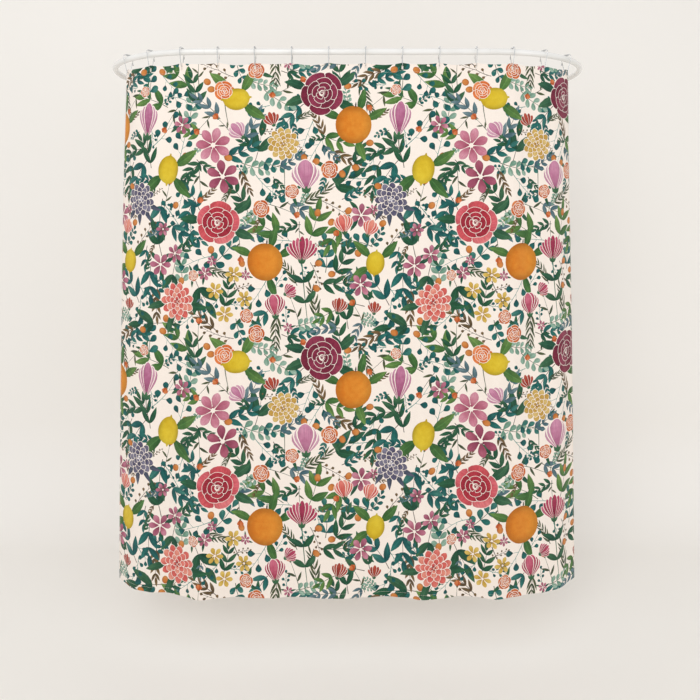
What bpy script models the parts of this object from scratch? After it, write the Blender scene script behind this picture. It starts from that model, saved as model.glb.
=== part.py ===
"""A cloth shower curtain hung by fourteen roller hooks on a closed oval rod that stands off a wall.

Metres, +Z up. The curtain's front faces -Y, the wall is at +Y, the bottom hem lies on Z = 0,
and the origin is the middle of the whole object's footprint.
"""

import math

import bmesh
import bpy
from mathutils import Matrix, Vector

# Rod: two straight rails joined by two half-round bends
ROD_DIAMETER = 0.022
ROD_WALL = 0.0012
RAIL_LENGTH = 1.02
BEND_RADIUS = 0.45
BEND_LEAD = 0.010
BEND_STEPS = 20
ROD_ABOVE_CLOTH = 0.039
JOINER_GAP = 0.00155
JOINER_WALL = 0.0015
JOINER_LENGTH = 0.044

# Wall brackets on the back rail
WALL_STAND_OFF = 0.10
ARM_DIAMETER = 0.016
ARM_WALL = 0.0015
ARM_FROM_MIDDLE = 0.36
CLAMP_WALL = 0.005
CLAMP_LENGTH = 0.030
SOCKET_WALL = 0.0035
SOCKET_DEPTH = 0.020
FLANGE_RIM = 0.0205
FLANGE_THICKNESS = 0.005
HUB_LENGTH = 0.018
FLANGE_FLOOR = 0.002
SCREW_OUT = 0.0115
SCREWS_EACH = 3
SCREW_SHANK = 0.004
SCREW_HEAD = 0.008
SCREW_HEAD_HEIGHT = 0.0022

# Cloth
CLOTH_HEIGHT = 1.880
CLOTH_THICKNESS = 0.0012
SIDE_MARGIN = 0.0235
BEND_STEP = math.radians(3.0)

# Hooks
HOOK_COUNT = 14
HOOK_PITCH = 0.1295
HOOK_WIRE = 0.0025
HOOK_SIDE_GAP = 0.00725
HOOK_CORNER = 0.008
HOOK_FOOT_RADIUS = 0.0075
BUTTONHOLE_DROP = 0.0105
ROLLER_DIAMETER = 0.006
ROLLER_GAP = 0.0016
ROLLERS_EACH = 5
SLOT_GAP = 0.00325

# Clearances
CLEARANCE = 0.0003
ROUND_SIDES = 24
SMALL_SIDES = 12

JOINER_DIAMETER = ROD_DIAMETER - 2 * ROD_WALL - 2 * JOINER_GAP
CLAMP_DIAMETER = ROD_DIAMETER + 2 * CLAMP_WALL
SOCKET_DIAMETER = ARM_DIAMETER + 2 * SOCKET_WALL
SOCKET_REACH = CLAMP_DIAMETER / 2 + SOCKET_DEPTH
FLANGE_DIAMETER = SOCKET_DIAMETER + 2 * FLANGE_RIM
SCREW_CIRCLE = SOCKET_DIAMETER + 2 * SCREW_OUT
HOOK_HALF_WIDTH = ROD_DIAMETER / 2 + HOOK_SIDE_GAP + HOOK_WIRE / 2
ROLLER_PITCH = 2 * (HOOK_HALF_WIDTH - HOOK_CORNER) / ROLLERS_EACH
ROLLER_LENGTH = ROLLER_PITCH - ROLLER_GAP
HOOK_SLOT = HOOK_WIRE + 2 * SLOT_GAP
ROD_HEIGHT = CLOTH_HEIGHT + ROD_ABOVE_CLOTH
RING_DEPTH = 2 * BEND_RADIUS
HOOK_REACH = HOOK_HALF_WIDTH + HOOK_WIRE / 2
FRONT_Y = (HOOK_REACH - RING_DEPTH - WALL_STAND_OFF) / 2
BACK_Y = FRONT_Y + RING_DEPTH
WALL_Y = BACK_Y + WALL_STAND_OFF
ROD_RADIUS = ROD_DIAMETER / 2

WHITE = ("white_lacquer", (0.86, 0.85, 0.83), 0.0, 0.22)
CHROME = ("bright_chrome", (0.80, 0.80, 0.80), 1.0, 0.12)
ZINC = ("zinc_plate", (0.62, 0.63, 0.64), 1.0, 0.35)
CLOTH = ("printed_cloth", (0.90, 0.84, 0.77), 0.0, 0.85)
HEM = ("hemmed_cloth", (0.93, 0.87, 0.79), 0.0, 0.85)


def clear_scene():
    for obj in list(bpy.data.objects):
        bpy.data.objects.remove(obj, do_unlink=True)


def new_collection(name):
    collection = bpy.data.collections.new(name)
    bpy.context.scene.collection.children.link(collection)
    return collection


def material(finish):
    name, colour, metallic, roughness = finish
    found = bpy.data.materials.get(name)
    if found:
        return found
    made = bpy.data.materials.new(name)
    made.use_nodes = True
    shader = made.node_tree.nodes["Principled BSDF"]
    shader.inputs["Base Color"].default_value = (*colour, 1.0)
    shader.inputs["Metallic"].default_value = metallic
    shader.inputs["Roughness"].default_value = roughness
    return made


def add_part(name, data, finish, place=Matrix.Identity(4)):
    obj = bpy.data.objects.new(name, data)
    obj.matrix_world = place
    data.materials.append(material(finish))
    curtain.objects.link(obj)
    return obj


def add_cutter(name, data, place):
    obj = bpy.data.objects.new(name, data)
    obj.matrix_world = place
    obj.hide_render = True
    obj.display_type = "WIRE"
    cutters.objects.link(obj)
    return obj


def boolean(obj, tool, operation):
    modifier = obj.modifiers.new(tool.name, "BOOLEAN")
    modifier.operation = operation
    modifier.solver = "EXACT"
    modifier.object = tool


def smooth(mesh, sharp=math.radians(35)):
    mesh.shade_smooth()
    mesh.set_sharp_from_angle(angle=sharp)


def cylinder_mesh(name, radius, length, sides=ROUND_SIDES):
    """A solid cylinder along local Z, centred on its middle."""
    mesh = bpy.data.meshes.new(name)
    shape = bmesh.new()
    bmesh.ops.create_cone(
        shape, cap_ends=True, segments=sides, radius1=radius, radius2=radius, depth=length
    )
    shape.to_mesh(mesh)
    shape.free()
    smooth(mesh)
    return mesh


def turned_mesh(name, profile, sides=ROUND_SIDES):
    """A solid turned about local Z from (radius, height) points that run down its outer side."""
    mesh = bpy.data.meshes.new(name)
    shape = bmesh.new()
    points = [shape.verts.new((radius, 0.0, height)) for radius, height in profile]
    ends = points + [points[0]] if profile[0][0] > 0.0 else points
    for first, second in zip(ends, ends[1:]):
        shape.edges.new((first, second))
    shape.to_mesh(mesh)
    shape.free()
    obj = bpy.data.objects.new(name, mesh)
    bpy.context.scene.collection.objects.link(obj)
    screw = obj.modifiers.new("turn", "SCREW")
    screw.steps = sides
    screw.render_steps = sides
    screw.use_merge_vertices = True
    screw.merge_threshold = 0.00005
    turned = evaluated_copy(obj, name)
    smooth(turned)
    return turned


def evaluated_copy(obj, name):
    """The object's evaluated shape as a new mesh; the object itself is removed."""
    bpy.context.view_layer.update()
    graph = bpy.context.evaluated_depsgraph_get()
    mesh = bpy.data.meshes.new_from_object(obj.evaluated_get(graph))
    mesh.name = name
    bpy.data.objects.remove(obj, do_unlink=True)
    shape = bmesh.new()
    shape.from_mesh(mesh)
    bmesh.ops.remove_doubles(shape, verts=shape.verts, dist=0.00002)
    bmesh.ops.recalc_face_normals(shape, faces=shape.faces)
    shape.to_mesh(mesh)
    shape.free()
    return mesh


def swept_mesh(name, points, radius, sides, closed=False, swell=None):
    """A round bar swept along points; swell scales the radius at each point."""
    curve = bpy.data.curves.new(name, "CURVE")
    curve.dimensions = "3D"
    curve.bevel_depth = radius
    curve.bevel_resolution = sides // 2 - 2
    curve.use_fill_caps = False
    spline = curve.splines.new("POLY")
    spline.points.add(len(points) - 1)
    spline.use_cyclic_u = closed
    for index, point in enumerate(points):
        spline.points[index].co = (*point, 1.0)
        spline.points[index].radius = swell[index] if swell else 1.0
    obj = bpy.data.objects.new(name, curve)
    bpy.context.scene.collection.objects.link(obj)
    mesh = evaluated_copy(obj, name)
    smooth(mesh)
    return mesh


def add_tube(name, points, outer_radius, wall, finish, sides=16):
    """A hollow tube with open ends: the swept outer skin, thickened inwards."""
    obj = add_part(name, swept_mesh(name, points, outer_radius, sides), finish)
    shell = obj.modifiers.new("wall", "SOLIDIFY")
    shell.thickness = wall
    shell.offset = -1.0
    shell.use_even_offset = True
    return obj


def rod_place(along):
    """Position on the rod's centre line and its heading, from the distance along it.

    Zero is the middle of the front rail, and positive runs towards +X and round the right bend.
    """
    side = math.copysign(1.0, along)
    past = abs(along) - RAIL_LENGTH / 2
    if past <= 0.0:
        return Vector((along, FRONT_Y, ROD_HEIGHT)), 0.0
    turn = past / BEND_RADIUS
    across = RAIL_LENGTH / 2 + BEND_RADIUS * math.sin(turn)
    back = FRONT_Y + BEND_RADIUS * (1.0 - math.cos(turn))
    return Vector((side * across, back, ROD_HEIGHT)), side * turn


def along_rod(start, end):
    """Distances along the rod: only the two ends on the straight, and close steps on a bend."""
    if max(abs(start), abs(end)) <= RAIL_LENGTH / 2:
        return [start, end]
    count = max(1, math.ceil((end - start) / (BEND_RADIUS * BEND_STEP)))
    return [start + (end - start) * index / count for index in range(count + 1)]


def make_rails():
    half = RAIL_LENGTH / 2 - BEND_LEAD - CLEARANCE / 2
    for name, level in (("front_rail", FRONT_Y), ("back_rail", BACK_Y)):
        ends = [Vector((-half, level, ROD_HEIGHT)), Vector((half, level, ROD_HEIGHT))]
        add_tube(name, ends, ROD_RADIUS, ROD_WALL, WHITE)


def make_bends():
    """Each half-round bend turns about the middle of the ring's depth, with a short straight lead."""
    middle = FRONT_Y + BEND_RADIUS
    lead_end = RAIL_LENGTH / 2 - BEND_LEAD + CLEARANCE / 2
    for name, side in (("left_bend", -1.0), ("right_bend", 1.0)):
        points = [Vector((side * lead_end, FRONT_Y, ROD_HEIGHT))]
        for index in range(BEND_STEPS + 1):
            angle = -math.pi / 2 + math.pi * index / BEND_STEPS
            across = RAIL_LENGTH / 2 + BEND_RADIUS * math.cos(angle)
            points.append(Vector((side * across, middle + BEND_RADIUS * math.sin(angle), ROD_HEIGHT)))
        points.append(Vector((side * lead_end, BACK_Y, ROD_HEIGHT)))
        add_tube(name, points, ROD_RADIUS, ROD_WALL, WHITE)


def make_joiners():
    """A short sleeve inside the tubes at each of the four joints between rail and bend."""
    for level_name, level in (("front", FRONT_Y), ("back", BACK_Y)):
        for side_name, side in (("left", -1.0), ("right", 1.0)):
            middle = side * (RAIL_LENGTH / 2 - BEND_LEAD)
            ends = [
                Vector((middle - JOINER_LENGTH / 2, level, ROD_HEIGHT)),
                Vector((middle + JOINER_LENGTH / 2, level, ROD_HEIGHT)),
            ]
            name = f"joiner_{level_name}_{side_name}"
            add_tube(name, ends, JOINER_DIAMETER / 2, JOINER_WALL, ZINC, SMALL_SIDES)


def make_bracket(side_name, side):
    """A clamp round the back rail, an arm out of its socket and a flange on the wall."""
    across = side * ARM_FROM_MIDDLE
    to_x = Matrix.Rotation(math.pi / 2, 4, "Y")
    to_y = Matrix.Rotation(-math.pi / 2, 4, "X")
    rail = Matrix.Translation((across, BACK_Y, ROD_HEIGHT))
    arm_radius = ARM_DIAMETER / 2
    bore_radius = arm_radius + CLEARANCE
    arm_start = CLAMP_DIAMETER / 2 + 2 * CLEARANCE

    sleeve = cylinder_mesh("sleeve", CLAMP_DIAMETER / 2, CLAMP_LENGTH)
    clamp = add_part(f"rail_clamp_{side_name}", sleeve, WHITE, rail @ to_x)
    socket = cylinder_mesh("socket", SOCKET_DIAMETER / 2, SOCKET_REACH)
    socket_place = rail @ Matrix.Translation((0, SOCKET_REACH / 2, 0)) @ to_y
    boolean(clamp, add_cutter(f"socket_{side_name}", socket, socket_place), "UNION")
    bore = cylinder_mesh("rail_bore", ROD_RADIUS + CLEARANCE, CLAMP_LENGTH * 2)
    boolean(clamp, add_cutter(f"rail_bore_{side_name}", bore, rail @ to_x), "DIFFERENCE")
    seat = cylinder_mesh("arm_seat", bore_radius, SOCKET_REACH)
    seat_middle = arm_start - CLEARANCE + SOCKET_REACH / 2
    seat_place = rail @ Matrix.Translation((0, seat_middle, 0)) @ to_y
    boolean(clamp, add_cutter(f"arm_seat_{side_name}", seat, seat_place), "DIFFERENCE")

    arm_end = WALL_Y - FLANGE_FLOOR - CLEARANCE
    ends = [
        Vector((across, BACK_Y + arm_start, ROD_HEIGHT)),
        Vector((across, arm_end, ROD_HEIGHT)),
    ]
    add_tube(f"wall_arm_{side_name}", ends, arm_radius, ARM_WALL, WHITE)

    wide = FLANGE_DIAMETER / 2
    hub = SOCKET_DIAMETER / 2
    profile = [
        (bore_radius, HUB_LENGTH),
        (hub - 0.001, HUB_LENGTH),
        (hub, HUB_LENGTH - 0.001),
        (hub, FLANGE_THICKNESS + 0.003),
        (hub + 0.003, FLANGE_THICKNESS),
        (wide - 0.002, FLANGE_THICKNESS),
        (wide, FLANGE_THICKNESS - 0.002),
        (wide, 0.0),
        (0.0, 0.0),
        (0.0, FLANGE_FLOOR),
        (bore_radius, FLANGE_FLOOR),
    ]
    wall = Matrix.Translation((across, WALL_Y, ROD_HEIGHT)) @ Matrix.Rotation(math.pi / 2, 4, "X")
    flange = add_part(f"wall_flange_{side_name}", turned_mesh("flange", profile), WHITE, wall)
    for number in range(SCREWS_EACH):
        turn = Matrix.Rotation(math.pi / 2 + 2 * math.pi * number / SCREWS_EACH, 4, "Z")
        place = wall @ turn @ Matrix.Translation((SCREW_CIRCLE / 2, 0, 0))
        hole = cylinder_mesh("screw_hole", SCREW_SHANK / 2 + CLEARANCE, FLANGE_THICKNESS * 4, SMALL_SIDES)
        boolean(flange, add_cutter(f"screw_hole_{side_name}_{number + 1}", hole, place), "DIFFERENCE")
        head_base = FLANGE_THICKNESS + CLEARANCE
        screw = [
            (0.0, head_base + SCREW_HEAD_HEIGHT),
            (SCREW_HEAD * 0.32, head_base + SCREW_HEAD_HEIGHT * 0.85),
            (SCREW_HEAD / 2, head_base + SCREW_HEAD_HEIGHT * 0.3),
            (SCREW_HEAD / 2, head_base),
            (SCREW_SHANK / 2, head_base),
            (SCREW_SHANK / 2, CLEARANCE),
            (0.0, CLEARANCE),
        ]
        name = f"flange_screw_{side_name}_{number + 1}"
        add_part(name, turned_mesh("screw", screw, SMALL_SIDES), ZINC, place)


def hook_outline():
    """The hook's closed wire as (across the rod, height above the rod's centre, swell) points.

    It is the band round three circles: two at the top corners and one at the foot. Five
    rollers sit side by side on the level top and run on the rod.
    """
    top = ROD_RADIUS + CLEARANCE + ROLLER_DIAMETER / 2
    foot = -ROD_ABOVE_CLOTH - BUTTONHOLE_DROP - HOOK_WIRE / 2
    corner = Vector((HOOK_HALF_WIDTH - HOOK_CORNER, top - HOOK_CORNER))
    low = Vector((0.0, foot + HOOK_FOOT_RADIUS))
    reach = corner - low
    tangent = math.atan2(reach.y, reach.x) - math.acos(
        (HOOK_FOOT_RADIUS - HOOK_CORNER) / reach.length
    )
    right = []
    corner_steps = 4
    for index in range(corner_steps + 1):
        angle = math.pi / 2 + (tangent - math.pi / 2) * index / corner_steps
        turned = Vector((math.cos(angle), math.sin(angle))) * HOOK_CORNER
        right.append((corner.x + turned.x, corner.y + turned.y, 1.0))
    foot_steps = 3
    for index in range(foot_steps + 1):
        angle = tangent + (-math.pi / 2 - tangent) * index / foot_steps
        turned = Vector((math.cos(angle), math.sin(angle))) * HOOK_FOOT_RADIUS
        right.append((low.x + turned.x, low.y + turned.y, 1.0))
    left = [(-across, height, swell) for across, height, swell in reversed(right[:-1])]
    rollers = []
    fat = ROLLER_DIAMETER / HOOK_WIRE
    for number in range(ROLLERS_EACH):
        middle = (number - (ROLLERS_EACH - 1) / 2) * ROLLER_PITCH
        half = ROLLER_LENGTH / 2
        rollers.append((middle - half * 1.15, top, 1.0))
        rollers.append((middle - half * 0.8, top, fat))
        rollers.append((middle + half * 0.8, top, fat))
        rollers.append((middle + half * 1.15, top, 1.0))
    return right + left + rollers


def make_hooks():
    """Every hook hangs square across the rod at its own place along it."""
    outline = hook_outline()
    points = [Vector((0.0, across, height)) for across, height, _ in outline]
    swell = [size for _, _, size in outline]
    wire = swept_mesh("hook_wire", points, HOOK_WIRE / 2, 6, closed=True, swell=swell)
    for number in range(HOOK_COUNT):
        spot, heading = rod_place((number - (HOOK_COUNT - 1) / 2) * HOOK_PITCH)
        place = Matrix.Translation(spot) @ Matrix.Rotation(heading, 4, "Z")
        add_part(f"hook_{number + 1:02d}", wire if number == 0 else wire.copy(), CHROME, place)


def add_cloth(name, start, end, finish):
    """A strip of the curtain under the rod between two distances along it."""
    mesh = bpy.data.meshes.new(name)
    shape = bmesh.new()
    below = Vector((0.0, 0.0, -ROD_ABOVE_CLOTH))
    top = [
        shape.verts.new(rod_place(mark)[0] + below)
        for mark in along_rod(start, end)
    ]
    edges = [shape.edges.new(pair) for pair in zip(top, top[1:])]
    grown = bmesh.ops.extrude_edge_only(shape, edges=edges)["geom"]
    lower = [item for item in grown if isinstance(item, bmesh.types.BMVert)]
    bmesh.ops.translate(shape, verts=lower, vec=(0.0, 0.0, -CLOTH_HEIGHT))
    shape.to_mesh(mesh)
    shape.free()
    obj = add_part(name, mesh, finish)
    shell = obj.modifiers.new("thickness", "SOLIDIFY")
    shell.thickness = CLOTH_THICKNESS
    shell.offset = 0.0
    shell.use_even_offset = True


def make_curtain():
    """One fold of cloth between each two hooks, and a hemmed margin outside the end hooks."""
    first = -(HOOK_COUNT - 1) / 2 * HOOK_PITCH
    for number in range(HOOK_COUNT - 1):
        left = first + number * HOOK_PITCH + HOOK_SLOT / 2
        right = first + (number + 1) * HOOK_PITCH - HOOK_SLOT / 2
        add_cloth(f"curtain_fold_{number + 1:02d}", left, right, CLOTH)
    add_cloth("side_hem_left", first - SIDE_MARGIN, first - HOOK_SLOT / 2, HEM)
    add_cloth("side_hem_right", -first + HOOK_SLOT / 2, -first + SIDE_MARGIN, HEM)


clear_scene()
curtain = new_collection("shower_curtain")
cutters = new_collection("cutters")
make_rails()
make_bends()
make_joiners()
make_bracket("left", -1.0)
make_bracket("right", 1.0)
make_hooks()
make_curtain()
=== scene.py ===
import math
import random
from functools import partial

import bmesh
import bpy
import numpy as np
from mathutils import Matrix, Vector
from mathutils.geometry import delaunay_2d_cdt


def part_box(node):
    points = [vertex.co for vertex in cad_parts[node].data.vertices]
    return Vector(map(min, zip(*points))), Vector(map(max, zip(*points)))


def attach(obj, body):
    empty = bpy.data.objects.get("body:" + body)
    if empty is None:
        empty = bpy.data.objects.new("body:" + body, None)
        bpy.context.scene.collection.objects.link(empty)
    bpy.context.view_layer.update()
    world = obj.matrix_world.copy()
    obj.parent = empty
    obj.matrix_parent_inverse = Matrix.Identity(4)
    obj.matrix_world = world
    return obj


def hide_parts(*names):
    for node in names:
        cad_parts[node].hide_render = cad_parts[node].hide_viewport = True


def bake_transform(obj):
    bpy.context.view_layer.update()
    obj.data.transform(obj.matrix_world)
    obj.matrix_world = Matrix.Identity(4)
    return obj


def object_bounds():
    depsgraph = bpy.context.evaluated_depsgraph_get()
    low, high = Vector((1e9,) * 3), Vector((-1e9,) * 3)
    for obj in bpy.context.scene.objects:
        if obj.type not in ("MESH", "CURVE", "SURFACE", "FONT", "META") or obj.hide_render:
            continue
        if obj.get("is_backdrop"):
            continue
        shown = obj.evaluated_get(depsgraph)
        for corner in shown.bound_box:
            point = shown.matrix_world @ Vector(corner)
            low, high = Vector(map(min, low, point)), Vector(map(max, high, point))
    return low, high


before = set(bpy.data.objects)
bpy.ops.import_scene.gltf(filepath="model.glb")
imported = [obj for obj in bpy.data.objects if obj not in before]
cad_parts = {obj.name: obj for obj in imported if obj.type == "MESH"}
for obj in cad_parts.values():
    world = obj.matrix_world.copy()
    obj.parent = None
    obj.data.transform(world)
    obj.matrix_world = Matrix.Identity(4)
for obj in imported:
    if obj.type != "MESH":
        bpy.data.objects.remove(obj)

cad_low, cad_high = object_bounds()

# --- Camera -------------------------------------------------------------------------------
# A level camera in front of the curtain, a little above the middle of its height, shifted
# down so that upright edges stay upright and the whole curtain is in view.
CAMERA_ASIDE = 0.01
CAMERA_BACK = 2.05
CAMERA_HEIGHT = 1.433

rod_low, rod_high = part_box("front_rail")
rod_line_y = (rod_low.y + rod_high.y) / 2
rod_line_z = (rod_low.z + rod_high.z) / 2
rod_radius = (rod_high.z - rod_low.z) / 2
camera_data = bpy.data.cameras.new("camera")
camera_data.lens = 30.0
camera_data.sensor_width = 36.0
camera_data.shift_y = -0.2286
camera = bpy.data.objects.new("camera", camera_data)
camera.location = (CAMERA_ASIDE, rod_line_y - CAMERA_BACK, CAMERA_HEIGHT)
camera.rotation_euler = (math.radians(90.0), 0.0, 0.0)
bpy.context.scene.collection.objects.link(camera)
bpy.context.scene.camera = camera
bpy.context.scene.view_settings.view_transform = "Standard"


# --- Room ---------------------------------------------------------------------------------
# A plain pale floor that sweeps up into the wall the rod is fixed to, lit by a wide soft
# lamp from above the viewer, a weaker one from the right and an even glow all round.
FLOOR_DROP = 0.20
COVE = 0.42
COVE_STEPS = 24
ROOM_REACH = 7.0
ROOM_TOP = 6.0
WALL_GAP = 0.001


def tint(code):
    """A linear colour from an ordinary RRGGBB code."""
    channels = [int(code[start:start + 2], 16) / 255 for start in (0, 2, 4)]
    linear = [c / 12.92 if c <= 0.04045 else ((c + 0.055) / 1.055) ** 2.4 for c in channels]
    return (*linear, 1.0)


def link_in(tree, value, socket):
    """Sets a socket from another socket, or from a plain value."""
    if isinstance(value, bpy.types.NodeSocket):
        tree.links.new(value, socket)
    else:
        socket.default_value = value


def add_node(tree, kind, **values):
    """A new node with its inputs set or linked by name, _ standing for a space."""
    node = tree.nodes.new(f"ShaderNode{kind}")
    for label, value in values.items():
        link_in(tree, value, node.inputs[label.replace("_", " ")])
    return node


def calc(tree, operation, *values, clamp=False):
    node = add_node(tree, "Math")
    node.operation = operation
    node.use_clamp = clamp
    for value, socket in zip(values, node.inputs):
        link_in(tree, value, socket)
    return node.outputs[0]


def blend_colours(tree, amount, first, second):
    node = add_node(tree, "Mix")
    node.data_type = "RGBA"
    for value, label in ((amount, "Factor"), (first, "A"), (second, "B")):
        link_in(tree, value, node.inputs[label])
    return node.outputs["Result"]


def ramp(tree, value, low, high):
    """A smooth step from 0 below low to 1 above high."""
    node = add_node(tree, "MapRange", Value=value, From_Min=low, From_Max=high)
    node.interpolation_type = "SMOOTHSTEP"
    return node.outputs["Result"]


def mottle(tree, place, scale, detail=2.0):
    return add_node(tree, "TexNoise", Vector=place, Scale=scale, Detail=detail).outputs["Fac"]


def new_material(name, colour, metallic=0.0, roughness=0.5):
    made = bpy.data.materials.new(name)
    made.use_nodes = True
    shader = made.node_tree.nodes["Principled BSDF"]
    shader.inputs["Base Color"].default_value = colour
    shader.inputs["Metallic"].default_value = metallic
    shader.inputs["Roughness"].default_value = roughness
    return made, made.node_tree, shader


def smooth_mesh(name, points, faces):
    mesh = bpy.data.meshes.new(name)
    mesh.from_pydata(points, [], faces)
    mesh.shade_smooth()
    return mesh


def add_piece(name, data, *materials):
    piece = bpy.data.objects.new(name, data)
    for item in materials:
        data.materials.append(item)
    bpy.context.scene.collection.objects.link(piece)
    return piece


wall_y = cad_high.y + WALL_GAP
profile = [(-ROOM_REACH, -FLOOR_DROP)]
for angle in np.linspace(0.0, math.pi / 2, COVE_STEPS + 1):
    profile.append((wall_y - COVE + COVE * math.sin(angle), -FLOOR_DROP + COVE - COVE * math.cos(angle)))
profile.append((wall_y, ROOM_TOP))
sweep_points = [(side * ROOM_REACH, y, z) for y, z in profile for side in (-1, 1)]
sweep_faces = [(2 * i, 2 * i + 1, 2 * i + 3, 2 * i + 2) for i in range(len(profile) - 1)]

plaster, tree, shader = new_material("pale_plaster", tint("F2EFEA"), roughness=0.9)
shader.inputs["Specular IOR Level"].default_value = 0.1
geometry = add_node(tree, "NewGeometry").outputs
plaster_tone = blend_colours(
    tree, mottle(tree, geometry["Position"], 0.7), tint("F2EFEA"), tint("F5F2EE")
)
link_in(tree, plaster_tone, shader.inputs["Base Color"])
# The wall is seen through from behind, so that it never hides the curtain.
one_sided = add_node(tree, "MixShader", Fac=geometry["Backfacing"])
link_in(tree, shader.outputs["BSDF"], one_sided.inputs[1])
link_in(tree, add_node(tree, "BsdfTransparent").outputs["BSDF"], one_sided.inputs[2])
link_in(tree, one_sided.outputs["Shader"], tree.nodes["Material Output"].inputs["Surface"])
room = add_piece("room", smooth_mesh("room", sweep_points, sweep_faces), plaster)
room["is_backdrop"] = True

world = bpy.data.worlds.new("even_glow")
world.use_nodes = True
glow = world.node_tree.nodes["Background"]
glow.inputs["Color"].default_value = tint("FFFFFF")
glow.inputs["Strength"].default_value = 0.79
bpy.context.scene.world = world

for name, place, aim, size, power in (
    ("front_lamp", (-1.2, -3.6, 2.7), (0.0, -0.3, 0.9), 2.6, 42.0),
    ("fill_lamp", (2.6, -2.8, 1.6), (0.0, -0.3, 1.0), 2.2, 12.0),
):
    lamp_data = bpy.data.lights.new(name, "AREA")
    lamp_data.shape = "DISK"
    lamp_data.size = size
    lamp_data.energy = power
    lamp_data.color = (1.0, 0.995, 0.985)
    lamp = add_piece(name, lamp_data)
    lamp.location = place
    lamp.visible_camera = False
    lamp.rotation_euler = (Vector(aim) - Vector(place)).to_track_quat("-Z", "Y").to_euler()


# --- Rod ----------------------------------------------------------------------------------
# Steel tube bent to a long oval ring and finished in white gloss lacquer: two straight rails
# and two half-round bends, pushed together over short sleeves hidden inside the tube.
ROD_SIDES = 40
TUBE_CREASE = 50
BEND_SLICES = 96
RAIL_TO_BEND = 0.010


def port_group(name, inputs, outputs):
    """An empty node group with named inputs and outputs, and the two nodes' sockets."""
    group = bpy.data.node_groups.new(name, "ShaderNodeTree")
    for way, ports in (("INPUT", inputs), ("OUTPUT", outputs)):
        for label, kind in ports.items():
            group.interface.new_socket(label, in_out=way, socket_type=f"NodeSocket{kind}")
    return (group, group.nodes.new("NodeGroupInput").outputs, group.nodes.new("NodeGroupOutput").inputs)


def placed(tree, group, **values):
    """A node group put into a material with its own values; gives its outputs."""
    node = tree.nodes.new("ShaderNodeGroup")
    node.node_tree = group
    for label, value in values.items():
        link_in(tree, value, node.inputs[label])
    return node.outputs


def fine_bumps(name):
    """A group that turns a place into a mild unevenness: a normal and a patchy mask."""
    group, ports, results = port_group(
        name, {"Place": "Vector", "Grain": "Float", "Depth": "Float"},
        {"Normal": "Vector", "Patches": "Float"},
    )
    grain = mottle(group, ports["Place"], ports["Grain"])
    bump = add_node(group, "Bump", Distance=0.0004, Strength=ports["Depth"], Height=grain)
    patches = mottle(group, ports["Place"], 9.0, 3.0)
    link_in(group, bump.outputs["Normal"], results["Normal"])
    link_in(group, ramp(group, patches, 0.35, 0.7), results["Patches"])
    return group


surface_grain = fine_bumps("surface_grain")


def grained_material(name, clean, worn, metallic, smooth_rough, dull_rough, grain, depth):
    """A hard finish with slight unevenness and faint patches of handling or dust."""
    made, tree, shader = new_material(name, clean, metallic)
    place = add_node(tree, "NewGeometry").outputs["Position"]
    skin = placed(tree, surface_grain, Place=place, Grain=grain, Depth=depth)
    span = calc(tree, "MULTIPLY", skin["Patches"], dull_rough - smooth_rough)
    link_in(tree, blend_colours(tree, skin["Patches"], clean, worn), shader.inputs["Base Color"])
    link_in(tree, calc(tree, "ADD", span, smooth_rough), shader.inputs["Roughness"])
    link_in(tree, skin["Normal"], shader.inputs["Normal"])
    return made, shader


lacquer, shader = grained_material(
    "white_lacquer", tint("ECEBE9"), tint("E4E3E0"), 0.0, 0.16, 0.26, 420.0, 0.10
)
shader.inputs["Coat Weight"].default_value = 0.5
shader.inputs["Coat Roughness"].default_value = 0.08


def closed_mesh(name, points, faces, sharp):
    """A closed mesh facing outward; edges bent past sharp degrees stay crisp."""
    mesh = smooth_mesh(name, points, faces)
    mesh.set_sharp_from_angle(angle=math.radians(sharp))
    shape = bmesh.new()
    shape.from_mesh(mesh)
    bmesh.ops.recalc_face_normals(shape, faces=shape.faces)
    shape.to_mesh(mesh)
    shape.free()
    return mesh


def swept(name, points, radius, sides, closed=False):
    """A smooth round bar along points, with flat ends unless it closes on itself."""
    count = len(points)
    path = np.array([tuple(point) for point in points])
    if closed:
        ahead = np.roll(path, -1, axis=0) - np.roll(path, 1, axis=0)
    else:
        ahead = np.gradient(path, axis=0)
    ahead /= np.linalg.norm(ahead, axis=1)[:, None]
    flat = np.linalg.svd(path - path.mean(axis=0), full_matrices=True)[2][2]
    across = np.cross(ahead, flat)
    across /= np.linalg.norm(across, axis=1)[:, None]
    up = np.cross(across, ahead)
    turn = np.linspace(0, 2 * np.pi, sides, endpoint=False)[None, :, None]
    shell = path[:, None, :] + radius * (np.cos(turn) * across[:, None, :] + np.sin(turn) * up[:, None, :])
    faces = []
    for index in range(count if closed else count - 1):
        first, second = index * sides, (index + 1) % count * sides
        for side in range(sides):
            after = (side + 1) % sides
            faces.append((first + side, first + after, second + after, second + side))
    if not closed:
        faces.append(tuple(reversed(range(sides))))
        faces.append(tuple((count - 1) * sides + side for side in range(sides)))
    return closed_mesh(name, shell.reshape(-1, 3).tolist(), faces, TUBE_CREASE)


def fitted(piece, node, body):
    """Puts a piece in a CAD node's place and on its body."""
    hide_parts(node)
    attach(piece, body)


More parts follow.
